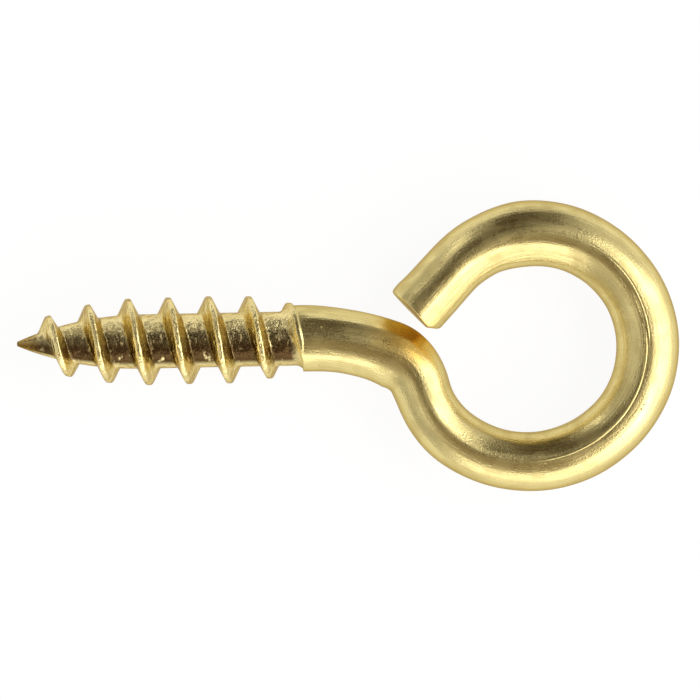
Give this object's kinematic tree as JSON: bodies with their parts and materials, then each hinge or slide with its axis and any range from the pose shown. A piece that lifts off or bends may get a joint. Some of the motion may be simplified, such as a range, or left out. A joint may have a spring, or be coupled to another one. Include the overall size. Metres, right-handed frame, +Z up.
{
  "type": "screw eye",
  "caption": "Brass-plated steel screw eye: coarse wood-screw thread with a pointed end, and an open round eye bent from the same wire.",
  "frame": {"origin": "middle of the footprint, on the surface that the screw eye lies on", "axes": "+X from the point towards the eye, along the screw's axis seen from above; +Y across, in the eye's plane; +Z up from the surface it lies on"},
  "size_m": [0.04, 0.0176, 0.0054],
  "materials": {
    "plated_wire": "satin drawn wire, brass plated, with fine scratches and pits"
  },
  "bodies": {
    "root": {"screw_eye": "plated_wire"}
  },
  "joints": []
}
